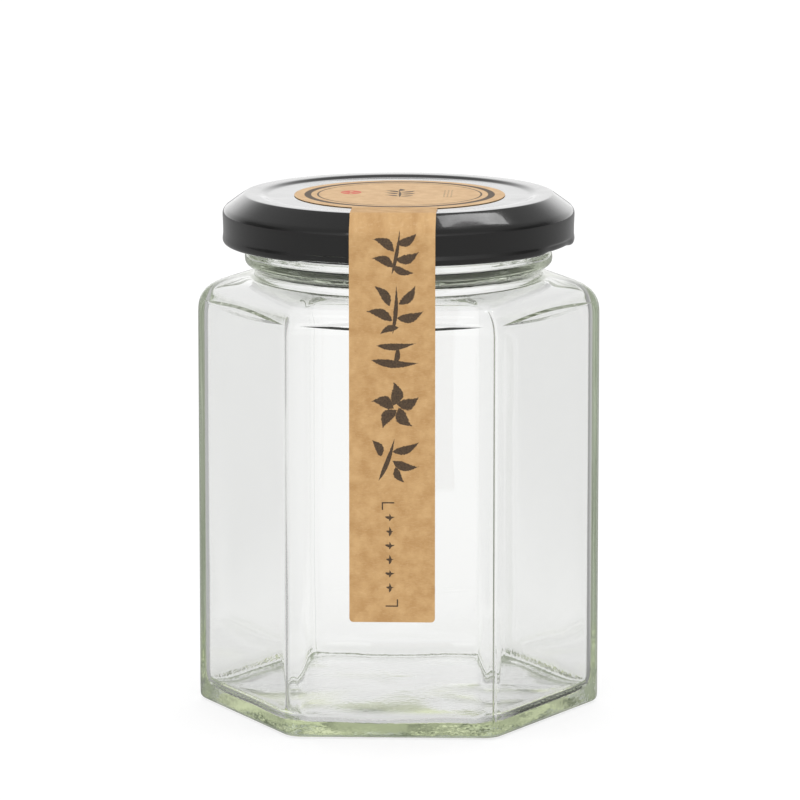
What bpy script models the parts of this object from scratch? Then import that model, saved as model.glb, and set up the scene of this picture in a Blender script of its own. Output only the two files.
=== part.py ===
"""Hexagonal glass jar with a twist-off lug lid, a round lid label and a paper seal strip.

Units are metres, +Z is up. The jar stands on z = 0 about the Z axis, its front
face looks along -Y and two of its six upright edges lie on the X axis.
"""
import math

import bmesh
import bpy

MM = 0.001

# Jar body: a rounded hexagon in plan
FLAT_RADIUS = 33.2 * MM          # axis to the outside of a flat face
CORNER_RADIUS = 3.5 * MM         # rounding of the six upright edges
WALL = 2.6 * MM                  # wall of the flat faces
FACE_TOP = 74.6 * MM             # where the flat faces turn into the shoulder
FLOOR_HEIGHT = 3.6 * MM          # inner floor above the table
HEEL_RADIUS = 1.0 * MM           # rounding between the faces and the base
PUSH_UP = 1.2 * MM               # hollow under the base
CORNER_STEPS = 6                 # flats along each 60 degree corner

# Neck and finish: round
NECK_RADIUS = 27.0 * MM
NECK_BORE = 24.6 * MM
SHOULDER_TOP = 81.4 * MM
RING_RADIUS = 28.8 * MM          # glass ring that shows under the lid
RING_BOTTOM = 81.9 * MM
RING_TOP = 86.2 * MM
FINISH_RADIUS = 28.5 * MM        # wall that the lid's skirt surrounds
RIM_TOP = 96.2 * MM

# Lid: one pressed steel cap
LID_RADIUS = 33.0 * MM
LID_TOP = 97.0 * MM              # crest of the raised bead
LID_BOTTOM = 87.7 * MM
LID_SHEET = 0.5 * MM
PANEL_DROP = 0.5 * MM            # middle panel below the bead
PANEL_RADIUS = 24.6 * MM
BEAD_INNER = 26.2 * MM
BEAD_OUTER = 28.7 * MM
LID_SLOPE = 36.0                 # degrees, from the bead down to the skirt
BEAD_ROUND = 0.8 * MM
SKIRT_ROUND = 1.6 * MM
CURL_RADIUS = 0.75 * MM          # rolled lower edge
LID_STEPS = 72
LUGS = 4
LUG_WIDTH = 11.0 * MM
LUG_REACH = 1.5 * MM             # how far a lug stands in from the curl
FIRST_LUG = math.radians(-21.0)  # from the front, towards +X

# Paper
LABEL_RADIUS = 20.0 * MM
LABEL_SHEET = 0.3 * MM
STRIP_WIDTH = 15.7 * MM
STRIP_SHEET = 0.35 * MM
STRIP_BOTTOM = 22.0 * MM
STRIP_START = 18.6 * MM          # end of the strip on the lid, from the axis
GAP = 0.15 * MM                  # between paper and what it is stuck to
STRIP_LIFT = 0.2 * MM            # the strip stands off more where it turns over the lid


def clear_scene():
    for old in list(bpy.data.objects):
        bpy.data.objects.remove(old, do_unlink=True)


def new_collection(name):
    made = bpy.data.collections.new(name)
    bpy.context.scene.collection.children.link(made)
    return made


def new_material(name, colour, roughness, metallic=0.0, transmission=0.0):
    made = bpy.data.materials.new(name)
    made.use_nodes = True
    shader = made.node_tree.nodes["Principled BSDF"]
    shader.inputs["Base Color"].default_value = (*colour, 1.0)
    shader.inputs["Roughness"].default_value = roughness
    shader.inputs["Metallic"].default_value = metallic
    shader.inputs["Transmission Weight"].default_value = transmission
    return made


def new_object(name, mesh, collection, material):
    made = bpy.data.objects.new(name, mesh)
    collection.objects.link(made)
    mesh.materials.append(material)
    return made


def shade(mesh, degrees=35.0):
    mesh.shade_smooth()
    mesh.set_sharp_from_angle(angle=math.radians(degrees))


def hexagon_section(flat, corner, height):
    """Points of a rounded hexagon; it is a circle when corner equals flat."""
    middle = (flat - corner) / math.cos(math.radians(30.0))
    points = []
    for side in range(6):
        turn = math.radians(60.0 * side)
        for step in range(CORNER_STEPS + 1):
            angle = turn + math.radians(-30.0 + 60.0 * step / CORNER_STEPS)
            x = middle * math.cos(turn) + corner * math.cos(angle)
            y = middle * math.sin(turn) + corner * math.sin(angle)
            points.append((x, y, height))
    return points


def quarter(steps, first=0.0, last=90.0):
    """Sines and cosines along part of a quarter turn, both ends included."""
    for step in range(steps + 1):
        angle = math.radians(first + (last - first) * step / steps)
        yield math.sin(angle), math.cos(angle)


def shoulder(flat, corner, low, neck, high, steps):
    """Sections from a hexagonal wall up to a round neck."""
    for step in range(1, steps + 1):
        part = step / steps
        rise = math.sin(math.radians(90.0) * part) ** 0.9
        reach = 1.0 - math.cos(math.radians(90.0) * part)
        new_flat = flat + (neck - flat) * reach
        new_corner = corner + (new_flat - corner) * part ** 3
        yield new_flat, new_corner, low + (high - low) * rise


def jar_sections():
    """Sections of the jar from the middle of the underside round to the floor."""
    # underside with its hollow, then the bearing edge and the heel
    base = FLAT_RADIUS - HEEL_RADIUS
    yield base - 5.0 * MM, CORNER_RADIUS, PUSH_UP
    yield base - 2.2 * MM, CORNER_RADIUS, PUSH_UP * 0.75
    yield base - 1.0 * MM, CORNER_RADIUS, 0.0
    for sine, cosine in quarter(4):
        yield base + HEEL_RADIUS * sine, CORNER_RADIUS, HEEL_RADIUS * (1.0 - cosine)
    # flat faces and shoulder
    yield FLAT_RADIUS, CORNER_RADIUS, FACE_TOP
    yield from shoulder(FLAT_RADIUS, CORNER_RADIUS, FACE_TOP, NECK_RADIUS, SHOULDER_TOP, 8)
    # glass ring under the lid
    for radius, height in (
        (NECK_RADIUS, RING_BOTTOM - 0.2 * MM),
        (RING_RADIUS - 0.6 * MM, RING_BOTTOM),
        (RING_RADIUS, RING_BOTTOM + 0.7 * MM),
        (RING_RADIUS, RING_TOP - 0.6 * MM),
        (RING_RADIUS - 0.5 * MM, RING_TOP),
        (FINISH_RADIUS - 0.5 * MM, RING_TOP + 0.6 * MM),
        (FINISH_RADIUS, RING_TOP + 1.4 * MM),
        (FINISH_RADIUS, RIM_TOP - 1.2 * MM),
        (FINISH_RADIUS - 0.4 * MM, RIM_TOP - 0.4 * MM),
        (FINISH_RADIUS - 1.2 * MM, RIM_TOP),
        (NECK_BORE + 1.4 * MM, RIM_TOP),
        (NECK_BORE + 0.6 * MM, RIM_TOP - 0.5 * MM),
        (NECK_BORE + 0.3 * MM, RIM_TOP - 1.4 * MM),
        (NECK_BORE, RING_BOTTOM),
    ):
        yield radius, radius, height
    # inside of the shoulder, from the bore down to the wall
    inner_flat = FLAT_RADIUS - WALL
    inner_corner = CORNER_RADIUS + 1.5 * MM
    inside = list(shoulder(inner_flat, inner_corner, FACE_TOP - 1.0 * MM,
                           NECK_BORE, SHOULDER_TOP - 2.6 * MM, 8))
    yield from reversed(inside)
    yield inner_flat, inner_corner, FACE_TOP - 1.0 * MM
    # wall down to the floor, with a rounded corner all the way round
    fillet = 4.0 * MM
    for sine, cosine in quarter(5):
        yield inner_flat - fillet * (1.0 - cosine), inner_corner, FLOOR_HEIGHT + fillet * (1.0 - sine)


def loft(name, sections):
    """A closed body through sections that share their point count, capped at both ends."""
    work = bmesh.new()
    rings = []
    for flat, corner, height in sections:
        rings.append([work.verts.new(p) for p in hexagon_section(flat, corner, height)])
    count = len(rings[0])
    for below, above in zip(rings, rings[1:]):
        for i in range(count):
            j = (i + 1) % count
            work.faces.new((below[i], below[j], above[j], above[i]))
    work.faces.new(list(reversed(rings[0])))
    work.faces.new(rings[-1])
    bmesh.ops.remove_doubles(work, verts=work.verts, dist=1e-6)
    bmesh.ops.dissolve_degenerate(work, edges=work.edges, dist=1e-7)
    bmesh.ops.recalc_face_normals(work, faces=work.faces)
    mesh = bpy.data.meshes.new(name)
    work.to_mesh(mesh)
    work.free()
    shade(mesh)
    return mesh


def lid_shoulder(offset):
    """From the bead's crest down the slope to the top of the skirt, set off along its normal."""
    lean = 90.0 - LID_SLOPE
    points = []
    for sine, cosine in quarter(3, 90.0, lean):
        reach = BEAD_ROUND + offset
        points.append((BEAD_OUTER + reach * cosine, LID_TOP - BEAD_ROUND + reach * sine))
    run = LID_RADIUS - SKIRT_ROUND * (1.0 - math.cos(math.radians(lean)))
    run -= BEAD_OUTER + BEAD_ROUND * math.cos(math.radians(lean))
    drop = run * math.tan(math.radians(LID_SLOPE))
    drop += (SKIRT_ROUND - BEAD_ROUND) * math.sin(math.radians(lean))
    for sine, cosine in quarter(5, lean, 0.0):
        reach = SKIRT_ROUND + offset
        points.append((LID_RADIUS - SKIRT_ROUND + reach * cosine,
                       LID_TOP - BEAD_ROUND - drop + reach * sine))
    return points


def lid_profile():
    """The cap's section, outer side from the middle down, then back up inside."""
    panel = LID_TOP - PANEL_DROP
    outer = [(0.0, panel), (PANEL_RADIUS, panel), (PANEL_RADIUS + 0.9 * MM, panel + 0.15 * MM),
             (BEAD_INNER, LID_TOP - 0.05 * MM), (BEAD_INNER + 1.0 * MM, LID_TOP)]
    outer += lid_shoulder(0.0)
    centre = (LID_RADIUS - CURL_RADIUS, LID_BOTTOM + CURL_RADIUS)
    curl = []
    for step in range(9):
        angle = math.radians(-30.0 * step)
        curl.append((centre[0] + CURL_RADIUS * math.cos(angle),
                     centre[1] + CURL_RADIUS * math.sin(angle)))
    inner = [(LID_RADIUS - LID_SHEET, LID_BOTTOM + 2.0 * CURL_RADIUS + 0.1 * MM)]
    inner += reversed(lid_shoulder(-LID_SHEET))
    inner += [(BEAD_INNER + 0.4 * MM, LID_TOP - LID_SHEET),
              (PANEL_RADIUS + 1.1 * MM, panel + 0.15 * MM - LID_SHEET),
              (PANEL_RADIUS + 0.1 * MM, panel - LID_SHEET), (0.0, panel - LID_SHEET)]
    return outer + curl + inner


def turned(name, profile, steps, collection, material):
    """A body of revolution about Z from a profile in the XZ plane."""
    work = bmesh.new()
    verts = [work.verts.new((x, 0.0, z)) for x, z in profile]
    for a, b in zip(verts, verts[1:]):
        work.edges.new((a, b))
    mesh = bpy.data.meshes.new(name)
    work.to_mesh(mesh)
    work.free()
    made = new_object(name, mesh, collection, material)
    screw = made.modifiers.new("Turn", "SCREW")
    screw.axis = "Z"
    screw.angle = math.tau
    screw.steps = steps
    screw.render_steps = steps
    screw.use_merge_vertices = True
    screw.merge_threshold = 0.00001
    screw.use_smooth_shade = True
    return made


def lug_block(angle, collection):
    """One lug under the rolled edge, at an angle from the front."""
    work = bmesh.new()
    bmesh.ops.create_cube(work, size=1.0)
    inner = LID_RADIUS - 2.0 * CURL_RADIUS - LUG_REACH
    depth = LUG_REACH + CURL_RADIUS
    height = 0.9 * MM
    bmesh.ops.scale(work, vec=(LUG_WIDTH, depth, height), verts=work.verts)
    bmesh.ops.translate(work, vec=(0.0, -(inner + depth / 2.0), LID_BOTTOM + CURL_RADIUS),
                        verts=work.verts)
    mesh = bpy.data.meshes.new("lug")
    work.to_mesh(mesh)
    work.free()
    made = bpy.data.objects.new("lug_block", mesh)
    made.rotation_euler = (0.0, 0.0, angle)
    collection.objects.link(made)
    made.hide_render = True
    made.display_type = "WIRE"
    return made


def strip_path():
    """Inner line of the paper strip in the YZ plane, from the lid down the front."""
    lift = LABEL_SHEET + GAP * 2.0
    path = [(-STRIP_START, LID_TOP - PANEL_DROP + lift + 0.05 * MM),
            (-BEAD_INNER, LID_TOP + GAP)]
    path += [(-out, up) for out, up in lid_shoulder(GAP + STRIP_LIFT)]
    path.append((-(FLAT_RADIUS + GAP), STRIP_BOTTOM))
    return path


def strip_mesh(name):
    work = bmesh.new()
    half = STRIP_WIDTH / 2.0
    left = [work.verts.new((-half, y, z)) for y, z in strip_path()]
    right = [work.verts.new((half, y, z)) for y, z in strip_path()]
    for i in range(len(left) - 1):
        work.faces.new((left[i], left[i + 1], right[i + 1], right[i]))
    mesh = bpy.data.meshes.new(name)
    work.to_mesh(mesh)
    work.free()
    return mesh


clear_scene()
parts = new_collection("hexagonal_glass_jar")
cutters = new_collection("cutters")

glass = new_material("clear_glass", (0.93, 0.96, 0.93), 0.02, transmission=1.0)
black_lacquer = new_material("black_lacquer", (0.02, 0.02, 0.022), 0.22, metallic=0.0)
kraft = new_material("kraft_paper", (0.60, 0.38, 0.18), 0.75)
label_paper = new_material("label_paper", (0.66, 0.46, 0.26), 0.70)

# Jar: one blown body, open at the mouth
jar = new_object("glass_jar", loft("glass_jar", jar_sections()), parts, glass)

# Lid: pressed cap with a rolled edge and four lugs that grip the finish
lid = turned("lid", lid_profile(), LID_STEPS, parts, black_lacquer)
for number in range(LUGS):
    block = lug_block(FIRST_LUG + number * math.tau / LUGS, cutters)
    union = lid.modifiers.new("Lug %d" % (number + 1), "BOOLEAN")
    union.operation = "UNION"
    union.solver = "EXACT"
    union.object = block

# Round label in the sunk middle of the lid
disc = bmesh.new()
bmesh.ops.create_cone(disc, cap_ends=True, segments=60, radius1=LABEL_RADIUS,
                      radius2=LABEL_RADIUS, depth=LABEL_SHEET)
bmesh.ops.translate(disc, vec=(0.0, 0.0, LID_TOP - PANEL_DROP + GAP + LABEL_SHEET / 2.0),
                    verts=disc.verts)
disc_mesh = bpy.data.meshes.new("top_label")
disc.to_mesh(disc_mesh)
disc.free()
label = new_object("top_label", disc_mesh, parts, label_paper)

# Seal strip: stuck to the lid, folded over its edge and down the front face
strip = new_object("seal_strip", strip_mesh("seal_strip"), parts, kraft)
sheet = strip.modifiers.new("Paper", "SOLIDIFY")
sheet.thickness = STRIP_SHEET
sheet.offset = 1.0
sheet.use_even_offset = True
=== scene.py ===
import math

import bmesh
import bpy
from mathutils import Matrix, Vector


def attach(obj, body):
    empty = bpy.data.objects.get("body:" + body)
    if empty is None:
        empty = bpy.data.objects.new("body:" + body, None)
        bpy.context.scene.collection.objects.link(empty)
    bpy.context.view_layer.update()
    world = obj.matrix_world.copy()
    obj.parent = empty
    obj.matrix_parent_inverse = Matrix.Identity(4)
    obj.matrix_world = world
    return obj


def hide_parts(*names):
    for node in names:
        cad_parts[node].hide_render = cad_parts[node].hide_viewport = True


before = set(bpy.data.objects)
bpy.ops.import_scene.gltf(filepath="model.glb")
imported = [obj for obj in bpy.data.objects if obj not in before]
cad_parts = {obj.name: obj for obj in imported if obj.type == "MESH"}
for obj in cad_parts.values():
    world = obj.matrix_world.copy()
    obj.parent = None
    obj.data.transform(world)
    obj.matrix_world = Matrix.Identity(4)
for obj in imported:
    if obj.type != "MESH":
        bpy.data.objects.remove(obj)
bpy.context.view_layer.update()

# Studio. The jar stands on a white sweep in plain soft light, with a softbox high behind
# its right side and a weak panel in front. The camera is a metre off and looks down by
# ten degrees.
scene = bpy.context.scene
scene.view_settings.view_transform = "Standard"

CAMERA_DISTANCE = 1.035
CAMERA_RISE = math.radians(9.94)
CAMERA_TURN = math.radians(2.02)
CAMERA_AIM = Vector((0.00027, 0.0, 0.05757))
LENS = 247.2

camera_data = bpy.data.cameras.new("camera")
camera_data.lens = LENS
camera_data.sensor_width = 36.0
camera_data.clip_start = 0.05
camera_data.clip_end = 30.0
camera = bpy.data.objects.new("camera", camera_data)
scene.collection.objects.link(camera)
toward_camera = Vector((math.sin(CAMERA_TURN) * math.cos(CAMERA_RISE),
                        -math.cos(CAMERA_TURN) * math.cos(CAMERA_RISE),
                        math.sin(CAMERA_RISE)))
camera.location = CAMERA_AIM + toward_camera * CAMERA_DISTANCE
camera.rotation_mode = "QUATERNION"
camera.rotation_quaternion = (-toward_camera).to_track_quat("-Z", "Y")
scene.camera = camera


def add_node(tree, kind, inputs=None, **settings):
    """One shader node: settings are its properties, inputs its socket values or links."""
    node = tree.nodes.new(kind)
    for key, value in settings.items():
        setattr(node, key, value)
    for key, value in (inputs or {}).items():
        if isinstance(value, bpy.types.NodeSocket):
            tree.links.new(value, node.inputs[key])
        else:
            node.inputs[key].default_value = value
    return node


def add_math(tree, operation, first, second=0.0, third=0.0):
    """A Math node's output, from sockets or plain numbers."""
    return add_node(tree, "ShaderNodeMath", {0: first, 1: second, 2: third},
                    operation=operation).outputs[0]


def add_ramp(tree, value, low, high, first, second):
    """A value eased from first to second while the given one goes from low to high."""
    return add_node(tree, "ShaderNodeMapRange", {"Value": value, "From Min": low, "From Max": high,
                                                 "To Min": first, "To Max": second},
                    interpolation_type="SMOOTHSTEP").outputs[0]


def add_blend(tree, share, first, second):
    """First where the share is 0, second where it is 1."""
    return add_node(tree, "ShaderNodeMix", {0: share, 2: first, 3: second}).outputs[0]


def light_beyond(tree, heading):
    """The backdrop's light on a ray: white straight through the jar, greyer where it was bent aside."""
    rays = add_node(tree, "ShaderNodeLightPath")
    passed = rays.outputs["Transmission Depth"]
    parts = add_node(tree, "ShaderNodeSeparateXYZ", {0: heading})
    side = add_ramp(tree, parts.outputs["X"], -0.9, 0.9, 0.50, 0.12)
    behind = add_ramp(tree, parts.outputs["Y"], 0.50, 0.82, 0.0, 1.0)
    before = add_ramp(tree, parts.outputs["Y"], -0.95, -0.50, 1.0, 0.0)
    # a ray that was mirrored inside the glass picks up the room's darker sides
    aside = add_blend(tree, behind, add_math(tree, "MULTIPLY_ADD", side, 0.25, 0.09), 1.0)
    aside = add_blend(tree, before, aside, 0.9)
    mirrored = add_math(tree, "SUBTRACT", rays.outputs["Ray Depth"], passed)
    whole = add_blend(tree, add_math(tree, "GREATER_THAN", mirrored, 0.5), 1.0, aside)
    # so does one that went in and out of a single wall
    rim = add_blend(tree, before, add_blend(tree, behind, side, 0.5), 0.9)
    return add_blend(tree, add_math(tree, "LESS_THAN", passed, 2.5), whole, rim), rays


# the room: a white sweep all round, with darker walls that only show as reflections
world = bpy.data.worlds.new("studio")
world.use_nodes = True
scene.world = world
sky = world.node_tree
sky.nodes.clear()
direction = add_node(sky, "ShaderNodeTexCoord").outputs["Generated"]
along = add_node(sky, "ShaderNodeSeparateXYZ", {0: direction})
through, rays = light_beyond(sky, direction)
walls = add_node(sky, "ShaderNodeValToRGB", {0: add_math(sky, "MULTIPLY_ADD", along.outputs["Y"], 0.5, 0.5)})
shades = ((0.02, 0.90), (0.10, 0.55), (0.25, 0.45), (0.50, 0.10),
          (0.72, 0.15), (0.80, 0.50), (0.90, 0.95), (0.97, 1.25))
while len(walls.color_ramp.elements) < len(shades):
    walls.color_ramp.elements.new(0.5)
for stop, (where, light) in zip(walls.color_ramp.elements, shades):
    stop.position = where
    stop.color = (light, light, light, 1.0)
up = add_ramp(sky, along.outputs["Z"], 0.25, 0.60, 0.0, 1.0)
mirrored = add_blend(sky, up, walls.outputs[0], 0.35)
through = add_blend(sky, up, through, 0.85)
overhead = add_ramp(sky, along.outputs["Z"], 0.0, 1.0, 0.75, 1.5)
soft = add_blend(sky, rays.outputs["Is Diffuse Ray"], mirrored, overhead)
soft = add_blend(sky, rays.outputs["Is Transmission Ray"], soft, through)
seen = add_math(sky, "MAXIMUM", soft, rays.outputs["Is Camera Ray"])
backdrop = add_node(sky, "ShaderNodeBackground", {"Color": (1.0, 1.0, 1.0, 1.0), "Strength": seen})
add_node(sky, "ShaderNodeOutputWorld", {"Surface": backdrop.outputs[0]})

# the lit floor glows as well, up to white; through the glass it sends the backdrop's
# light, less what the lamps already give it
FLOOR_GLOW = 0.74
FLOOR_LIT = 0.34
bpy.ops.object.select_all(action="DESELECT")
bpy.ops.mesh.primitive_circle_add(vertices=96, radius=4.0, fill_type="NGON", location=(0.0, 0.0, -0.0002))
floor = bpy.context.object
floor.name = "floor"
white_floor = bpy.data.materials.new("white_floor")
white_floor.use_nodes = True
paint = white_floor.node_tree
surface = paint.nodes["Principled BSDF"]
surface.inputs["Base Color"].default_value = (0.25, 0.25, 0.25, 1.0)
surface.inputs["Roughness"].default_value = 0.9
surface.inputs["Emission Color"].default_value = (1.0, 1.0, 1.0, 1.0)
spot = add_node(paint, "ShaderNodeTexCoord").outputs["Object"]
heading = add_node(paint, "ShaderNodeVectorMath", {0: spot}, operation="NORMALIZE").outputs[0]
through, rays = light_beyond(paint, heading)
mirrored = add_math(paint, "MULTIPLY", rays.outputs["Is Glossy Ray"], rays.outputs["Is Reflection Ray"])
glow = add_math(paint, "MULTIPLY_ADD", mirrored, -FLOOR_GLOW, FLOOR_GLOW)
beyond = add_math(paint, "MAXIMUM", add_math(paint, "SUBTRACT", through, FLOOR_LIT), 0.0)
glow = add_blend(paint, rays.outputs["Is Transmission Ray"], glow, beyond)
paint.links.new(glow, surface.inputs["Emission Strength"])
floor.data.materials.append(white_floor)


def add_panel(name, place, aim, width, height, radiance):
    """A rectangular studio light whose face has the given radiance."""
    lamp = bpy.data.lights.new(name, "AREA")
    lamp.shape = "RECTANGLE"
    lamp.size = width
    lamp.size_y = height
    lamp.energy = radiance * math.pi * width * height
    panel = bpy.data.objects.new(name, lamp)
    scene.collection.objects.link(panel)
    panel.location = place
    panel.rotation_mode = "QUATERNION"
    panel.rotation_quaternion = (Vector(aim) - Vector(place)).to_track_quat("-Z", "Y")
    panel.visible_camera = False


add_panel("softbox", (0.36, 0.36, 1.05), (0.0, 0.0, 0.08), 0.06, 0.44, 4.0)
add_panel("front_fill", (-0.35, -1.3, 0.75), (0.0, 0.0, 0.05), 0.9, 0.6, 1.0)

# Glass jar. Soda-lime glass blown in a six-sided mould, clear with a faint green
# cast that shows where the wall is seen edge-on. The neck is round, with a ring
# under the lid, and the heavy floor is a little wavy.
HALF_SIDE = math.radians(30.0)
SECANT = 1.0 / math.cos(HALF_SIDE)
FLAT = 0.0332
CORNER = 0.0035
HEEL = 0.0010
FACE_TOP = 0.0746
SHOULDER_TOP = 0.0814
NECK = 0.0270
INNER_FLAT = 0.0306
INNER_CORNER = 0.0040
FLOOR_MIDDLE = 0.0032
FLOOR_EDGE = 0.0020
FILLET = 0.0030
INNER_FACE_TOP = 0.0768
INNER_SHOULDER_TOP = 0.0803
INNER_NECK = 0.0256


def start_cap(name, height, flat, corner=None, sides=96):
    """Adds the face that a piece grows from, round or a rounded hexagon, in edit mode."""
    bpy.ops.object.select_all(action="DESELECT")
    if corner is None:
        bpy.ops.mesh.primitive_circle_add(vertices=sides, radius=flat, fill_type="NGON")
    else:
        bpy.ops.mesh.primitive_circle_add(vertices=6, radius=flat * SECANT, fill_type="NGON")
    piece = bpy.context.object
    piece.name = piece.data.name = name
    bpy.ops.object.mode_set(mode="EDIT")
    bpy.ops.mesh.select_mode(type="VERT")
    bpy.ops.mesh.select_all(action="SELECT")
    if corner is not None:
        bpy.ops.transform.rotate(value=HALF_SIDE, orient_axis="Z", center_override=(0.0, 0.0, 0.0))
        bpy.ops.mesh.bevel(offset=corner * math.tan(HALF_SIDE), segments=6, affect="VERTICES")
        # the straight stretches are divided, and the rounded corners stay as they are
        bpy.ops.mesh.select_mode(type="EDGE")
        cage = bmesh.from_edit_mesh(piece.data)
        for edge in cage.edges:
            edge.select = edge.calc_length() > flat * 0.3
        bmesh.update_edit_mesh(piece.data)
        bpy.ops.mesh.subdivide(number_cuts=9)
        bpy.ops.mesh.select_all(action="SELECT")
    bpy.ops.transform.translate(value=(0.0, 0.0, height))
    bpy.ops.mesh.select_mode(type="FACE")
    reaches = [v.co.xy.length for v in bmesh.from_edit_mesh(piece.data).verts]
    mean = sum(reaches) / len(reaches)
    return {"piece": piece, "height": height, "mean": mean, "swing": 0.0 if corner is None else 1.0,
            "low": min(reaches) / mean - 1.0, "high": max(reaches) / mean - 1.0}


def shrink_cap(cap, share):
    """Makes the face smaller before anything is pulled from it."""
    bpy.ops.transform.resize(value=(share, share, 1.0), center_override=(0.0, 0.0, 0.0))
    cap["mean"] *= share


def pull(cap, height, flat, reach=None):
    """Extrudes the cap to a new height; flat and reach are the axis's distance to a side and a corner."""
    bpy.ops.mesh.extrude_region_move(TRANSFORM_OT_translate={"value": (0.0, 0.0, height - cap["height"])})
    swing = cap["swing"]
    if reach is not None and swing:
        ratio = reach / flat
        wanted = (ratio - 1.0) / (cap["high"] - ratio * cap["low"])
        if wanted < swing * 0.999:
            bpy.ops.transform.tosphere(value=min(1.0, 1.0 - wanted / swing))
            swing = max(0.0, wanted)
    mean = flat / (1.0 + swing * cap["low"])
    grow = mean / cap["mean"]
    bpy.ops.transform.resize(value=(grow, grow, 1.0), center_override=(0.0, 0.0, 0.0))
    cap.update(height=height, mean=mean, swing=swing)


def pull_along(cap, points):
    """Extrudes the cap through points: the axis's distance to a side, and the height, in millimetres."""
    for flat, height in points:
        pull(cap, height * 0.001, flat * 0.001)


def pull_round(cap, foot, flat, radius, turns):
    """From a level face round and up into a wall, at the given turns in degrees."""
    for turn in turns:
        angle = math.radians(turn)
        pull(cap, foot + radius * (1.0 - math.cos(angle)), flat - radius + radius * math.sin(angle))


def pull_shoulder(cap, flat, corner, low, neck, high, steps=12):
    """From a six-sided wall up and in to a round neck."""
    for step in range(1, steps + 1):
        part = step / steps
        turn = math.radians(90.0) * part
        new_flat = flat + (neck - flat) * (1.0 - math.cos(turn))
        new_corner = corner + (new_flat - corner) * part ** 3
        reach = (new_flat - new_corner) * SECANT + new_corner
        pull(cap, low + (high - low) * math.sin(turn) ** 0.9, new_flat, reach)


def open_end(cap):
    """Takes the cap's face away, leaves edit mode and returns the piece."""
    bpy.ops.mesh.delete(type="ONLY_FACE")
    bpy.ops.object.mode_set(mode="OBJECT")
    return cap["piece"]


# outside, from the hollowed underside to the rim
cap = start_cap("jar", 0.0012, FLAT, CORNER)
shrink_cap(cap, 0.25)
pull_along(cap, ((14.0, 1.2), (20.0, 1.1), (25.0, 0.85), (28.6, 0.5), (30.4, 0.2), (31.2, 0.0), (32.2, 0.0)))
pull_round(cap, 0.0, FLAT, HEEL, (30.0, 60.0, 90.0))
for height in (0.003, 0.010, 0.022, 0.034, 0.046, 0.058, 0.068, 0.0728, FACE_TOP):
    pull(cap, height, FLAT)
pull_shoulder(cap, FLAT, CORNER, FACE_TOP, NECK, SHOULDER_TOP)
pull_along(cap, ((27.0, 82.0), (27.0, 82.6), (27.12, 82.95), (27.5, 83.3), (28.1, 83.65), (28.55, 84.0),
                 (28.8, 84.4), (28.85, 85.0), (28.8, 85.6), (28.6, 86.0), (28.1, 86.3), (28.0, 87.0),
                 (28.4, 87.8), (28.5, 88.6), (28.5, 91.5), (28.5, 94.8), (28.3, 95.6), (27.8, 96.05),
                 (27.1, 96.2), (26.6, 96.2)))
jar = open_end(cap)

# inside, from the floor to the mouth
cap = start_cap("jar_inside", FLOOR_MIDDLE, INNER_FLAT, INNER_CORNER)
shrink_cap(cap, 0.2)
pull_along(cap, ((11.0, 3.2), (16.0, 3.1), (20.5, 2.9), (25.0, 2.5)))
pull_round(cap, FLOOR_EDGE, INNER_FLAT, FILLET, (0.0, 15.0, 30.0, 45.0, 60.0, 75.0, 90.0))
for height in (0.0060, 0.0080, 0.011, 0.016, 0.024, 0.034, 0.046, 0.058, 0.068, 0.0745, INNER_FACE_TOP):
    pull(cap, height, INNER_FLAT)
pull_shoulder(cap, INNER_FLAT, INNER_CORNER, INNER_FACE_TOP, INNER_NECK, INNER_SHOULDER_TOP)
pull_along(cap, ((25.6, 81.0), (25.7, 82.2), (25.7, 83.4), (25.6, 84.1), (25.3, 84.6), (24.9, 85.0),
                 (24.65, 85.5), (24.6, 86.2), (24.6, 91.0), (24.7, 93.8), (24.95, 95.0), (25.4, 95.75),
                 (26.0, 96.15)))
inside = open_end(cap)

# the blown inside is a little uneven, most of all round the floor, and even in the neck
uneven = bpy.data.textures.new("uneven_glass", "CLOUDS")
uneven.noise_scale = 0.013
uneven.noise_depth = 1
walls = inside.vertex_groups.new(name="walls")
for vert in inside.data.vertices:
    low_down = max(0.0, min(1.0, (0.0036 - vert.co.z) / 0.0012))
    below_neck = max(0.0, min(1.0, (0.074 - vert.co.z) / 0.004))
    walls.add([vert.index], (0.12 + 0.88 * low_down) * below_neck, "REPLACE")
bpy.context.view_layer.objects.active = inside
ripple = inside.modifiers.new("ripple", "DISPLACE")
ripple.texture = uneven
ripple.texture_coords = "LOCAL"
ripple.vertex_group = "walls"
ripple.strength = 0.0012
ripple.mid_level = 0.5
bpy.ops.object.modifier_apply(modifier=ripple.name)

# the two skins become one wall, joined at the rim
bpy.ops.object.select_all(action="DESELECT")
inside.select_set(True)
jar.select_set(True)
bpy.context.view_layer.objects.active = jar
bpy.ops.object.join()
bpy.ops.object.mode_set(mode="EDIT")
bpy.ops.mesh.select_mode(type="EDGE")
bpy.ops.mesh.select_all(action="DESELECT")
bpy.ops.mesh.select_non_manifold()
bpy.ops.mesh.bridge_edge_loops()
bpy.ops.mesh.select_all(action="SELECT")
bpy.ops.mesh.normals_make_consistent(inside=False)
bpy.ops.object.mode_set(mode="OBJECT")
jar.vertex_groups.clear()


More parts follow.
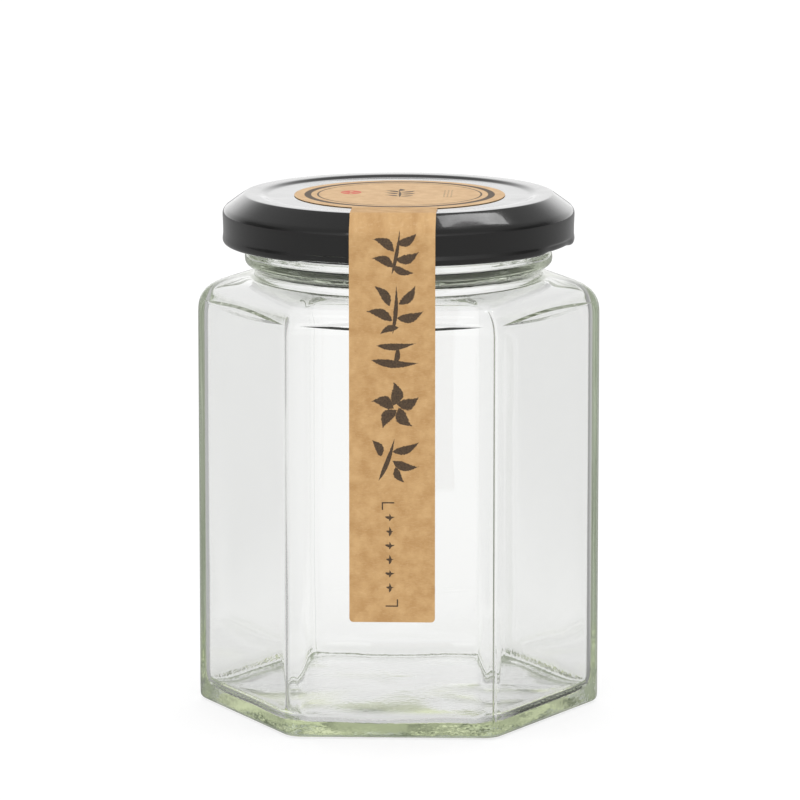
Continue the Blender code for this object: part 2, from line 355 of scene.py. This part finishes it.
def smooth_over(piece):
    """Weaves big flat ends as grids, rounds the cage off with a subdivision surface and shades it smooth."""
    bpy.ops.object.select_all(action="DESELECT")
    piece.select_set(True)
    bpy.context.view_layer.objects.active = piece
    bpy.ops.object.mode_set(mode="EDIT")
    bpy.ops.mesh.select_mode(type="FACE")
    while True:
        cage = bmesh.from_edit_mesh(piece.data)
        ends = [face for face in cage.faces if len(face.verts) > 8]
        if not ends:
            break
        bpy.ops.mesh.select_all(action="DESELECT")
        ends[0].select = True
        sides = len(ends[0].verts)
        bmesh.update_edit_mesh(piece.data)
        bpy.ops.mesh.delete(type="ONLY_FACE")
        bpy.ops.mesh.select_mode(type="EDGE")
        cage = bmesh.from_edit_mesh(piece.data)
        for edge in cage.edges:
            edge.select = edge.is_boundary
        bmesh.update_edit_mesh(piece.data)
        bpy.ops.mesh.fill_grid(span=sides // 4)
        bpy.ops.mesh.select_mode(type="FACE")
    bpy.ops.mesh.select_all(action="SELECT")
    bpy.ops.mesh.normals_make_consistent(inside=False)
    bpy.ops.object.mode_set(mode="OBJECT")
    skin = piece.modifiers.new("skin", "SUBSURF")
    skin.levels = 1
    skin.render_levels = 1
    bpy.ops.object.modifier_apply(modifier=skin.name)
    bpy.ops.object.shade_smooth()


smooth_over(jar)


def new_finish(name):
    """A node material; returns the material, its tree and its Principled shader."""
    finish = bpy.data.materials.new(name)
    finish.use_nodes = True
    return finish, finish.node_tree, finish.node_tree.nodes["Principled BSDF"]


def add_noise(tree, place, scale, detail, roughness=0.5):
    """A cloudy value between 0 and 1, mostly near 0.5."""
    return add_node(tree, "ShaderNodeTexNoise", {"Vector": place, "Scale": scale, "Detail": detail,
                                                 "Roughness": roughness}).outputs[0]


def add_bump(tree, height, strength, distance, below=None):
    """The normal of a relief; below is the normal of a relief that it lies on."""
    inputs = {"Height": height, "Strength": strength, "Distance": distance}
    if below is not None:
        inputs["Normal"] = below
    return add_node(tree, "ShaderNodeBump", inputs).outputs[0]


def stretch_place(tree, place, factors):
    """A place whose three parts are multiplied by the factors."""
    return add_node(tree, "ShaderNodeVectorMath", {0: place, 1: factors}, operation="MULTIPLY").outputs[0]


def mix_colours(tree, share, first, second):
    """The first colour where the share is 0, the second where it is 1."""
    return add_node(tree, "ShaderNodeMix", {0: share, 6: first, 7: second}, data_type="RGBA").outputs[2]


clear_glass, glass, shader = new_finish("clear_glass")
shader.inputs["Base Color"].default_value = (1.0, 1.0, 1.0, 1.0)
shader.inputs["Transmission Weight"].default_value = 1.0
shader.inputs["Roughness"].default_value = 0.0
shader.inputs["IOR"].default_value = 1.52
place = add_node(glass, "ShaderNodeTexCoord").outputs["Object"]
apart = add_node(glass, "ShaderNodeSeparateXYZ", {0: place})
above_table = apart.outputs["Z"]
flat_place = stretch_place(glass, place, (1.0, 1.0, 0.0))
from_axis = add_node(glass, "ShaderNodeVectorMath", {0: flat_place}, operation="LENGTH").outputs["Value"]
waver = add_bump(glass, add_noise(glass, place, 45.0, 1.0, 0.45), 0.25, 0.0006)
# the chilled skin of the heel, low down and away from the middle, is finely wrinkled
chill = add_noise(glass, place, 900.0, 1.0, 0.6)
heel = add_math(glass, "MULTIPLY", add_ramp(glass, above_table, 0.0022, 0.0034, 1.0, 0.0),
                add_ramp(glass, from_axis, 0.0265, 0.0300, 0.12, 1.0))
# so are some patches of the ring under the lid
ring = add_math(glass, "MULTIPLY", add_ramp(glass, above_table, 0.0826, 0.0829, 0.0, 0.8),
                add_ramp(glass, above_table, 0.0837, 0.0841, 1.0, 0.0))
patches = add_ramp(glass, add_noise(glass, place, 75.0, 0.0), 0.50, 0.56, 0.0, 1.0)
ring = add_math(glass, "MULTIPLY", ring, patches)
chilled = add_math(glass, "MULTIPLY", chill, add_math(glass, "MAXIMUM", heel, ring))
waver = add_bump(glass, chilled, 0.4, 0.0003, waver)
# the mould's two halves meet along two upright edges and leave a hair of a seam
seam = add_node(glass, "ShaderNodeVectorMath", {0: place, 1: (math.cos(HALF_SIDE), math.sin(HALF_SIDE), 0.0)},
                operation="DOT_PRODUCT").outputs["Value"]
ridge = add_ramp(glass, add_math(glass, "ABSOLUTE", seam), 0.00010, 0.00045, 1.0, 0.0)
ridge = add_math(glass, "MULTIPLY", ridge, add_ramp(glass, from_axis, 0.0349, 0.0356, 0.0, 1.0))
waver = add_bump(glass, ridge, 0.6, 0.00025, waver)
# at the top of each face the glass sagged into a long shallow lens
LENS_LEVEL = 0.0768
LENS_HALF_TURN = math.radians(26.0)
LENS_HALF_HEIGHT = 0.0008
turn = add_math(glass, "ARCTAN2", apart.outputs["X"], apart.outputs["Y"])
turn = add_math(glass, "PINGPONG", turn, HALF_SIDE)
level = add_math(glass, "SUBTRACT", above_table, LENS_LEVEL)
reach = add_math(glass, "DIVIDE", turn, LENS_HALF_TURN)
bulge = add_math(glass, "MULTIPLY_ADD", add_math(glass, "MULTIPLY", reach, reach),
                 -LENS_HALF_HEIGHT, LENS_HALF_HEIGHT)
within = add_math(glass, "SUBTRACT", bulge, add_math(glass, "ABSOLUTE", level))
to_side = add_math(glass, "MULTIPLY", from_axis, add_math(glass, "COSINE", turn))
on_face = add_math(glass, "GREATER_THAN", to_side, 0.0319)
lens = add_math(glass, "MULTIPLY", add_ramp(glass, within, -0.0001, 0.00045, 0.0, 1.0), on_face)
waver = add_bump(glass, lens, 1.0, 0.0011, waver)
glass.links.new(waver, shader.inputs["Normal"])
# painted glow: where light has run on inside the wall for too long to be followed, the glass itself glows pale
# green in dark and pale streaks, standing in for the light that would come out
DARK_GLOW_STREAK = (0.09, 0.10, 0.07, 1.0)
PALE_HEEL_GLOW = (0.40, 0.42, 0.29, 1.0)
PALE_EDGE_GLOW = (0.30, 0.31, 0.27, 1.0)
runs = add_node(glass, "ShaderNodeLightPath").outputs["Glossy Depth"]
along_heel = stretch_place(glass, place, (70.0, 70.0, 1100.0))
up_edges = stretch_place(glass, place, (600.0, 600.0, 20.0))
above_heel = add_ramp(glass, above_table, 0.003, 0.005, 0.0, 1.0)
glow_streaks = add_node(glass, "ShaderNodeMix", {0: above_heel, 4: along_heel, 5: up_edges},
                   data_type="VECTOR").outputs[1]
glow_streaks = add_ramp(glass, add_noise(glass, glow_streaks, 1.0, 1.0), 0.42, 0.58, 0.0, 1.0)
painted_glow = mix_colours(glass, glow_streaks, DARK_GLOW_STREAK, mix_colours(glass, above_heel, PALE_HEEL_GLOW, PALE_EDGE_GLOW))
glass.links.new(painted_glow, shader.inputs["Emission Color"])
# the painted glow is switched on once a ray has been mirrored more than three times
glass.links.new(add_math(glass, "GREATER_THAN", runs, 3.5), shader.inputs["Emission Strength"])
tint = add_node(glass, "ShaderNodeVolumeAbsorption", {"Color": (0.79, 0.85, 0.74, 1.0), "Density": 20.0})
glass.links.new(tint.outputs[0], glass.nodes["Material Output"].inputs["Volume"])
jar.data.materials.clear()
jar.data.materials.append(clear_glass)
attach(jar, "root")
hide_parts("glass_jar")

# Lid. A twist-off cap pressed from thin tinplate and lacquered glossy black: a sunk
# panel inside a raised bead, a sloping shoulder and a skirt whose edge is rolled in.
# Four lugs in the rolled edge grip the threads of the jar.
LID = 0.0330
CREST = 0.0970
BEAD_OUTER = 0.0287
BEAD_ROUND = 0.0008
SKIRT_ROUND = 0.0016
SHEET = 0.00025
SLOPE = 54.0
ROLL = 0.00075
ROLL_RADIUS = 0.03225
ROLL_HEIGHT = 0.08845
LUG_TURN = 21.0


def lid_shoulder(offset, steps=3):
    """Radius and height down the bead's edge, the slope and the top of the skirt."""
    lean = math.radians(SLOPE)
    run = LID - SKIRT_ROUND * (1.0 - math.cos(lean)) - BEAD_OUTER - BEAD_ROUND * math.cos(lean)
    drop = run / math.tan(lean) + BEAD_ROUND * math.sin(lean)
    for step in range(steps + 1):
        turn = math.radians(90.0) + (lean - math.radians(90.0)) * step / steps
        yield (BEAD_OUTER + (BEAD_ROUND + offset) * math.cos(turn),
               CREST - BEAD_ROUND + (BEAD_ROUND + offset) * math.sin(turn))
    for step in range(2 * steps + 1):
        turn = lean * (1.0 - step / (2.0 * steps))
        yield (LID - SKIRT_ROUND + (SKIRT_ROUND + offset) * math.cos(turn),
               CREST - BEAD_ROUND - drop + (SKIRT_ROUND + offset) * math.sin(turn))


# outer skin, the rolled edge, then back over the inner skin
cap = start_cap("cap", 0.0965, 0.008)
pull_along(cap, ((16.0, 96.5), (22.0, 96.5), (24.3, 96.5), (24.7, 96.53), (25.2, 96.68), (25.7, 96.88),
                 (26.2, 96.98), (27.0, 97.0)))
for radius, height in lid_shoulder(0.0):
    pull(cap, height, radius)
pull_along(cap, ((32.95, 92.4), (32.9, 91.0), (32.88, 89.9), (32.9, 89.4), (32.98, 88.95)))
for turn in range(0, 271, 30):
    pull(cap, ROLL_HEIGHT - ROLL * math.sin(math.radians(turn)),
         ROLL_RADIUS + ROLL * math.cos(math.radians(turn)))
pull_along(cap, ((32.5, 89.5), (32.62, 90.2), (32.65, 92.0)))
for radius, height in reversed(list(lid_shoulder(-SHEET))):
    pull(cap, height, radius)
pull_along(cap, ((27.0, 96.75), (26.3, 96.73), (25.8, 96.62), (25.3, 96.42), (24.8, 96.27), (24.4, 96.24),
                 (16.0, 96.24), (8.0, 96.24)))
lid = cap["piece"]
bpy.ops.mesh.select_mode(type="VERT")


def near_lug(place, half_width):
    """Whether a point lies within half a width, in degrees, of one of the four lugs."""
    turn = math.degrees(math.atan2(place.x, -place.y)) + LUG_TURN
    return abs((turn + 45.0) % 90.0 - 45.0) < half_width


def pick(piece, test):
    """Selects the points of the piece in edit mode that pass the test."""
    bpy.ops.mesh.select_all(action="DESELECT")
    cage = bmesh.from_edit_mesh(piece.data)
    for vert in cage.verts:
        vert.select = test(vert.co)
    cage.select_flush_mode()
    bmesh.update_edit_mesh(piece.data)


# the rolled edge is pushed in and up at each lug, and the lug's lip further in
pick(lid, lambda at: at.z < 0.0890 and at.xy.length > 0.03 and near_lug(at, 10.5))
bpy.ops.transform.resize(value=(0.988, 0.988, 1.0), center_override=(0.0, 0.0, 0.0))
bpy.ops.transform.translate(value=(0.0, 0.0, 0.00035))
pick(lid, lambda at: 0.0884 < at.z < 0.0892 and 0.0305 < at.xy.length < 0.0318 and near_lug(at, 9.0))
bpy.ops.transform.resize(value=(0.955, 0.955, 1.0), center_override=(0.0, 0.0, 0.0))
bpy.ops.mesh.select_all(action="SELECT")
bpy.ops.mesh.normals_make_consistent(inside=False)
bpy.ops.object.mode_set(mode="OBJECT")
smooth_over(lid)


def add_slope(tree, value, low, high, first=0.0, second=1.0):
    """A value that runs straight from first to second while the given one goes from low to high."""
    return add_node(tree, "ShaderNodeMapRange", {"Value": value, "From Min": low, "From Max": high,
                                                 "To Min": first, "To Max": second}).outputs[0]


black_lacquer, lacquer, shader = new_finish("black_lacquer")
shader.inputs["IOR"].default_value = 1.5
shader.inputs["Coat Weight"].default_value = 0.7
shader.inputs["Coat Roughness"].default_value = 0.04
place = add_node(lacquer, "ShaderNodeTexCoord").outputs["Object"]
# the underside of the panel has a grey-green lining, which shows through the neck's ring
BLACK = (0.007, 0.0068, 0.0065, 1.0)
LINING = (0.30, 0.33, 0.25, 1.0)
level = add_node(lacquer, "ShaderNodeSeparateXYZ", {0: place}).outputs["Z"]
normal = add_node(lacquer, "ShaderNodeNewGeometry").outputs["Normal"]
upward = add_node(lacquer, "ShaderNodeSeparateXYZ", {0: normal}).outputs["Z"]
under = add_math(lacquer, "MULTIPLY", add_math(lacquer, "GREATER_THAN", level, 0.0905),
                 add_math(lacquer, "LESS_THAN", upward, -0.2))
lacquer.links.new(mix_colours(lacquer, under, BLACK, LINING), shader.inputs["Base Color"])
haze = add_noise(lacquer, place, 140.0, 4.0, 0.6)
lacquer.links.new(add_slope(lacquer, haze, 0.3, 0.75, 0.10, 0.22), shader.inputs["Roughness"])
peel = add_noise(lacquer, place, 900.0, 2.0)
lacquer.links.new(add_bump(lacquer, peel, 0.06, 0.0001), shader.inputs["Normal"])
lid.data.materials.clear()
lid.data.materials.append(black_lacquer)
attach(lid, "root")
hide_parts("lid")

# Round label. Kraft paper punched to a disc and stuck in the lid's sunk panel,
# printed with a broad and a thin ring, a small red stamp and ink ornaments.
LABEL_AT = (0.0002, 0.0002)
cap = start_cap("round_label", 0.09653, 0.006)
pull_along(cap, ((12.0, 96.53), (17.0, 96.53), (19.4, 96.53), (19.73, 96.535), (19.75, 96.56), (19.75, 96.62),
                 (19.7, 96.66), (19.3, 96.67), (17.0, 96.67), (12.0, 96.67), (6.0, 96.67)))
label = cap["piece"]
bpy.ops.mesh.select_all(action="SELECT")
bpy.ops.mesh.normals_make_consistent(inside=False)
bpy.ops.transform.translate(value=(*LABEL_AT, 0.0))
bpy.ops.object.mode_set(mode="OBJECT")
smooth_over(label)


def new_group(name, inputs, outputs):
    """An empty shader group with named sockets; returns it with its two end nodes."""
    group = bpy.data.node_groups.new(name, "ShaderNodeTree")
    for title, kind, value in inputs:
        socket = group.interface.new_socket(title, in_out="INPUT", socket_type=kind)
        if value is not None:
            socket.default_value = value
    for title, kind in outputs:
        group.interface.new_socket(title, in_out="OUTPUT", socket_type=kind)
    return group, group.nodes.new("NodeGroupInput"), group.nodes.new("NodeGroupOutput")


# kraft paper: two browns in soft clouds, flecks and long fibres, and a felted height
PALE_FIBRE = (0.80, 0.58, 0.34, 1.0)
DARK_FLECK = (0.22, 0.12, 0.05, 1.0)
kraft, given, result = new_group("kraft_sheet", [("Place", "NodeSocketVector", None),
                                                 ("Light", "NodeSocketColor", (0.60, 0.37, 0.16, 1.0)),
                                                 ("Dark", "NodeSocketColor", (0.48, 0.27, 0.10, 1.0))],
                                 [("Color", "NodeSocketColor"), ("Height", "NodeSocketFloat")])
place = given.outputs["Place"]
clouds = add_slope(kraft, add_noise(kraft, place, 0.35, 5.0, 0.62), 0.36, 0.66)
browns = mix_colours(kraft, clouds, given.outputs["Dark"], given.outputs["Light"])
stretch = add_node(kraft, "ShaderNodeMapping", {"Vector": place, "Scale": (0.9, 4.5, 3.0),
                                                "Rotation": (0.0, 0.0, 0.5)}).outputs[0]
fibre = add_noise(kraft, stretch, 1.1, 6.0, 0.75)
paler = mix_colours(kraft, add_slope(kraft, fibre, 0.52, 0.72, 0.0, 0.35), browns, PALE_FIBRE)
specks = add_noise(kraft, place, 5.5, 2.0)
flecked = mix_colours(kraft, add_slope(kraft, specks, 0.68, 0.76, 0.0, 0.45), paler, DARK_FLECK)
kraft.links.new(flecked, result.inputs["Color"])
kraft.links.new(add_math(kraft, "MULTIPLY_ADD", fibre, 0.6, specks), result.inputs["Height"])

# one touch of a loaded brush: pointed at both ends and fuller towards one of them
touch, given, result = new_group("brush_touch", [("Place", "NodeSocketVector", None),
                                                 ("X", "NodeSocketFloat", 0.0), ("Y", "NodeSocketFloat", 0.0),
                                                 ("Turn", "NodeSocketFloat", 0.0),
                                                 ("Length", "NodeSocketFloat", 4.0),
                                                 ("Width", "NodeSocketFloat", 1.0)],
                                 [("Ink", "NodeSocketFloat")])
place = given.outputs["Place"]
spot = add_node(touch, "ShaderNodeCombineXYZ", {0: given.outputs["X"], 1: given.outputs["Y"]}).outputs[0]
shift = add_node(touch, "ShaderNodeVectorMath", {0: place, 1: spot}, operation="SUBTRACT").outputs[0]
turned = add_node(touch, "ShaderNodeVectorRotate", {"Vector": shift, "Angle": given.outputs["Turn"]},
                  rotation_type="Z_AXIS", invert=True)
across = add_node(touch, "ShaderNodeSeparateXYZ", {0: turned.outputs[0]})
half = add_math(touch, "MULTIPLY", given.outputs["Length"], 0.5)
way = add_math(touch, "DIVIDE", across.outputs[0], half)
square = add_math(touch, "MULTIPLY", way, way)
pointed = add_math(touch, "SUBTRACT", 1.0, square)
fuller = add_math(touch, "MAXIMUM", add_math(touch, "MULTIPLY_ADD", way, -0.45, 1.0), 0.3)
edge = add_math(touch, "MULTIPLY", add_math(touch, "MULTIPLY", pointed, fuller), 0.5)
bow = add_math(touch, "MULTIPLY_ADD", square, -0.35, 0.12)
off = add_math(touch, "ADD", add_math(touch, "DIVIDE", across.outputs[1], given.outputs["Width"]), bow)
frayed = add_math(touch, "MULTIPLY_ADD", add_noise(touch, place, 2.6, 3.0), 0.26, -0.13)
off = add_math(touch, "ADD", add_math(touch, "ABSOLUTE", off), frayed)
ink = add_slope(touch, add_math(touch, "SUBTRACT", edge, off), 0.0, 0.07)
touch.links.new(ink, result.inputs["Ink"])


def paint_touches(tree, place, touches):
    """Lays brush touches (x, y, turn in degrees, length, width in mm) and returns the ink mask."""
    mask = None
    for x, y, turn, length, width in touches:
        stroke = add_node(tree, "ShaderNodeGroup", {"Place": place, "X": x, "Y": y, "Length": length,
                                                    "Width": width, "Turn": math.radians(turn)}, node_tree=touch)
        mask = stroke.outputs[0] if mask is None else add_math(tree, "MAXIMUM", mask, stroke.outputs[0])
    return mask


def ring_mask(tree, distance, radius, width, soft=0.06):
    """A printed ring of the given radius and line width, from the distance to its middle."""
    gap = add_math(tree, "ABSOLUTE", add_math(tree, "SUBTRACT", distance, radius))
    return add_slope(tree, gap, width / 2.0, width / 2.0 + soft, 1.0, 0.0)


TO_MM = (1000.0, 1000.0, 1000.0)
LABEL_INK = (0.045, 0.030, 0.022, 1.0)
RED_INK = (0.62, 0.07, 0.05, 1.0)
label_paper, paper, shader = new_finish("label_paper")
shader.inputs["Roughness"].default_value = 0.62
place = add_node(paper, "ShaderNodeTexCoord").outputs["Object"]
centred = add_node(paper, "ShaderNodeMapping", {"Vector": place, "Scale": TO_MM,
                                                "Location": (-0.2, -0.2, -96.6)}).outputs[0]
sheet = add_node(paper, "ShaderNodeGroup", {"Place": centred, "Light": (0.66, 0.44, 0.23, 1.0),
                                            "Dark": (0.56, 0.35, 0.17, 1.0)}, node_tree=kraft)
plane = stretch_place(paper, centred, (1.0, 1.0, 0.0))
reach = add_node(paper, "ShaderNodeVectorMath", {0: plane}, operation="LENGTH").outputs["Value"]
rings = add_math(paper, "MAXIMUM", ring_mask(paper, reach, 17.2, 1.2), ring_mask(paper, reach, 15.3, 0.28))
sprig = paint_touches(paper, plane, [
    (0.0, 0.5, 92.0, 9.0, 0.5), (-1.5, 4.0, 140.0, 3.6, 1.3), (1.6, 3.4, 42.0, 3.6, 1.3),
    (-1.6, 1.2, 146.0, 3.4, 1.2), (1.7, 0.6, 36.0, 3.4, 1.2), (-1.4, -1.8, 150.0, 3.0, 1.1),
    (1.5, -2.3, 32.0, 3.0, 1.1), (0.1, 5.9, 90.0, 3.0, 1.2)])
# a block of small dots in rows, right of the sprig
rows = add_node(paper, "ShaderNodeMapping", {"Vector": plane, "Location": (-9.0, -1.0, 0.0)}).outputs[0]
dots = add_node(paper, "ShaderNodeTexVoronoi", {"Vector": rows, "Scale": 1.5, "Randomness": 0.15})
dot = add_slope(paper, dots.outputs["Distance"], 0.20, 0.30, 0.75, 0.0)
span = add_node(paper, "ShaderNodeSeparateXYZ", {0: rows})
inside_x = add_math(paper, "LESS_THAN", add_math(paper, "ABSOLUTE", span.outputs[0]), 1.1)
inside_y = add_math(paper, "LESS_THAN", add_math(paper, "ABSOLUTE", span.outputs[1]), 5.0)
dot_field = add_math(paper, "MULTIPLY", dot, add_math(paper, "MULTIPLY", inside_x, inside_y))
dark = add_math(paper, "MAXIMUM", add_math(paper, "MAXIMUM", rings, sprig), dot_field)
# the stamp is a red oval with four petals left open, left of the sprig
STAMP_X = -9.2
STAMP_Y = 2.2
STAMP_HALF_WIDTH = 2.0
STAMP_HALF_HEIGHT = 2.6
stamp_at = add_node(paper, "ShaderNodeMapping", {
    "Vector": plane, "Location": (-STAMP_X / STAMP_HALF_WIDTH, -STAMP_Y / STAMP_HALF_HEIGHT, 0.0),
    "Scale": (1.0 / STAMP_HALF_WIDTH, 1.0 / STAMP_HALF_HEIGHT, 1.0)}).outputs[0]
stamp_reach = add_node(paper, "ShaderNodeVectorMath", {0: stamp_at}, operation="LENGTH").outputs["Value"]
stamp = add_slope(paper, stamp_reach, 0.94, 1.0, 0.85, 0.0)
petals = paint_touches(paper, plane, [
    (STAMP_X, STAMP_Y + 1.2, 90.0, 1.9, 0.7), (STAMP_X, STAMP_Y - 1.2, 90.0, 1.9, 0.7),
    (STAMP_X + 1.1, STAMP_Y, 0.0, 1.6, 0.7), (STAMP_X - 1.1, STAMP_Y, 0.0, 1.6, 0.7)])
stamp = add_math(paper, "MULTIPLY", stamp, add_math(paper, "MULTIPLY_ADD", petals, -0.75, 1.0))
inked = mix_colours(paper, add_math(paper, "MULTIPLY", dark, 0.88), sheet.outputs["Color"], LABEL_INK)
paper.links.new(mix_colours(paper, stamp, inked, RED_INK), shader.inputs["Base Color"])
felt = add_bump(paper, sheet.outputs["Height"], 0.22, 0.00006)
paper.links.new(felt, shader.inputs["Normal"])
label.data.materials.clear()
label.data.materials.append(label_paper)
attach(label, "root")
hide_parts("top_label")

# Seal strip. A band of the same kraft paper, stuck to the label's edge, folded over
# the bead and the skirt of the lid, and pressed on to the front face. Ink ornaments
# run down it as if painted with a brush.
STRIP = 0.0157
STRIP_THICK = 0.00012
STRIP_END = 0.0220
STRIP_FACE = -0.03324
STRIP_INK = (0.028, 0.017, 0.012, 1.0)
bpy.ops.object.select_all(action="DESELECT")
bpy.ops.mesh.primitive_plane_add(size=1.0)
strip = bpy.context.object
strip.name = strip.data.name = "paper_seal"
path = [(-0.0187, 0.09672), (-0.0225, 0.09682), (-0.0262, 0.09703)]
path += [(-radius, height) for radius, height in lid_shoulder(STRIP_THICK)]
path += [(-0.03318, 0.0920), (-0.03322, 0.0880), (STRIP_FACE, 0.0840), (STRIP_FACE, 0.0780)]
path += [(STRIP_FACE, height) for height in (0.0700, 0.0600, 0.0500, 0.0400, 0.0300, STRIP_END)]
bpy.ops.object.mode_set(mode="EDIT")
bpy.ops.mesh.select_mode(type="VERT")
bpy.ops.mesh.select_all(action="SELECT")
length = path[0][0] - path[1][0]
bpy.ops.transform.resize(value=(STRIP, length, 1.0), center_override=(0.0, 0.0, 0.0))
bpy.ops.transform.translate(value=(0.0, (path[0][0] + path[1][0]) / 2.0, path[0][1]))
pick(strip, lambda at: at.y < (path[0][0] + path[1][0]) / 2.0)
bpy.ops.transform.translate(value=(0.0, 0.0, path[1][1] - path[0][1]))
for last, following in zip(path[1:], path[2:]):
    step = (0.0, following[0] - last[0], following[1] - last[1])
    bpy.ops.mesh.extrude_region_move(TRANSFORM_OT_translate={"value": step})
bpy.ops.mesh.bevel(offset=0.0007, segments=4, affect="VERTICES")
bpy.ops.mesh.select_all(action="SELECT")
bpy.ops.mesh.normals_make_consistent(inside=False)
bpy.ops.object.mode_set(mode="OBJECT")
middle = strip.data.polygons[len(strip.data.polygons) // 2]
body = strip.modifiers.new("body", "SOLIDIFY")
body.thickness = STRIP_THICK
body.offset = 1.0 if middle.normal.y < 0.0 or middle.normal.z > 0.5 else -1.0
body.use_even_offset = True
bpy.ops.object.modifier_apply(modifier=body.name)
bpy.ops.object.shade_smooth_by_angle(angle=math.radians(35.0))

kraft_paper, paper, shader = new_finish("kraft_paper")
shader.inputs["Roughness"].default_value = 0.7
place = add_node(paper, "ShaderNodeTexCoord").outputs["Object"]
in_mm = add_node(paper, "ShaderNodeMapping", {"Vector": place, "Scale": TO_MM}).outputs[0]
apart = add_node(paper, "ShaderNodeSeparateXYZ", {0: in_mm})
x, y, z = apart.outputs
# the sheet's pattern follows the strip as if it lay unrolled
unrolled = add_node(paper, "ShaderNodeCombineXYZ", {0: x, 1: add_math(paper, "SUBTRACT", z, y)}).outputs[0]
sheet = add_node(paper, "ShaderNodeGroup", {"Place": unrolled}, node_tree=kraft)
front = add_node(paper, "ShaderNodeCombineXYZ", {0: x, 1: z}).outputs[0]
painted = paint_touches(paper, front, [
    # a leafing twig
    (0.8, 90.6, 80.0, 8.6, 0.7), (-1.4, 92.2, 150.0, 4.6, 1.8), (2.8, 92.8, 28.0, 4.2, 1.7),
    (-1.6, 89.0, 158.0, 4.4, 1.7), (2.9, 89.6, 20.0, 4.6, 1.8), (1.9, 87.2, -18.0, 4.4, 1.4),
    # a spray of five long leaves
    (0.6, 80.2, 86.0, 9.4, 0.8), (-1.6, 82.8, 128.0, 4.8, 1.7), (3.0, 82.6, 50.0, 4.8, 1.7),
    (-2.2, 79.2, 160.0, 5.2, 1.8), (3.4, 78.8, 16.0, 5.2, 1.8), (-0.6, 76.4, 200.0, 3.8, 1.3),
    # two strokes of water
    (0.8, 73.4, 4.0, 7.4, 1.3), (0.6, 70.2, -3.0, 9.0, 1.5), (0.9, 71.8, 84.0, 4.0, 1.0),
    # an open blossom
    (0.7, 64.6, 90.0, 4.6, 2.3), (3.0, 62.9, 18.0, 4.4, 2.2), (2.1, 60.0, -54.0, 4.4, 2.2),
    (-0.8, 60.1, 234.0, 4.4, 2.2), (-1.6, 62.9, 162.0, 4.4, 2.2),
    # a bent reed with two buds
    (-0.8, 52.4, 70.0, 8.8, 0.9), (2.6, 54.4, 20.0, 5.4, 1.6), (2.4, 51.2, -12.0, 5.0, 1.7),
    (-2.6, 54.6, 120.0, 3.6, 1.6), (1.2, 49.4, -60.0, 3.4, 1.4)])
# small crossed marks in a column between two corner lines
MARKS = 6
MARK_X = -0.4
MARK_TOP = 41.6
MARK_STEP = 2.62
column = []
for mark in range(MARKS):
    turn = 90.0 if mark % 2 else 0.0
    column.append((MARK_X, MARK_TOP - MARK_STEP * mark, turn, 1.9, 0.55))
    column.append((MARK_X, MARK_TOP - MARK_STEP * mark, 90.0 - turn, 1.5, 0.45))
small = paint_touches(paper, front, column)


def bar_mask(tree, x, y, low_x, high_x, low_y, high_y):
    """A straight printed bar between two x and two y values."""
    from_left = add_math(tree, "GREATER_THAN", x, low_x)
    to_right = add_math(tree, "LESS_THAN", x, high_x)
    from_foot = add_math(tree, "GREATER_THAN", y, low_y)
    to_top = add_math(tree, "LESS_THAN", y, high_y)
    return add_math(tree, "MULTIPLY", add_math(tree, "MULTIPLY", from_left, to_right),
                    add_math(tree, "MULTIPLY", from_foot, to_top))


lines = [bar_mask(paper, x, z, -1.9, 0.4, 44.2, 44.45), bar_mask(paper, x, z, -1.9, -1.65, 43.0, 44.45),
         bar_mask(paper, x, z, -1.2, 1.1, 24.9, 25.15), bar_mask(paper, x, z, 0.85, 1.1, 24.9, 26.3)]
ink = add_math(paper, "MAXIMUM", painted, small)
for line in lines:
    ink = add_math(paper, "MAXIMUM", ink, line)
# the print is on the outer side only; over the lid, where the back is out of sight, the limit is eased
outer = add_math(paper, "LESS_THAN", y, add_ramp(paper, z, 90.0, 92.0, -33.28, -32.4))
ink = add_math(paper, "MULTIPLY", ink, outer)
wear = add_noise(paper, unrolled, 3.2, 5.0)
cover = add_slope(paper, wear, 0.25, 0.6, 0.97, 0.86)
inked = mix_colours(paper, add_math(paper, "MULTIPLY", ink, cover), sheet.outputs["Color"], STRIP_INK)
paper.links.new(inked, shader.inputs["Base Color"])
felt = add_bump(paper, sheet.outputs["Height"], 0.22, 0.00006)
paper.links.new(felt, shader.inputs["Normal"])
strip.data.materials.clear()
strip.data.materials.append(kraft_paper)
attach(strip, "root")
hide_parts("seal_strip")
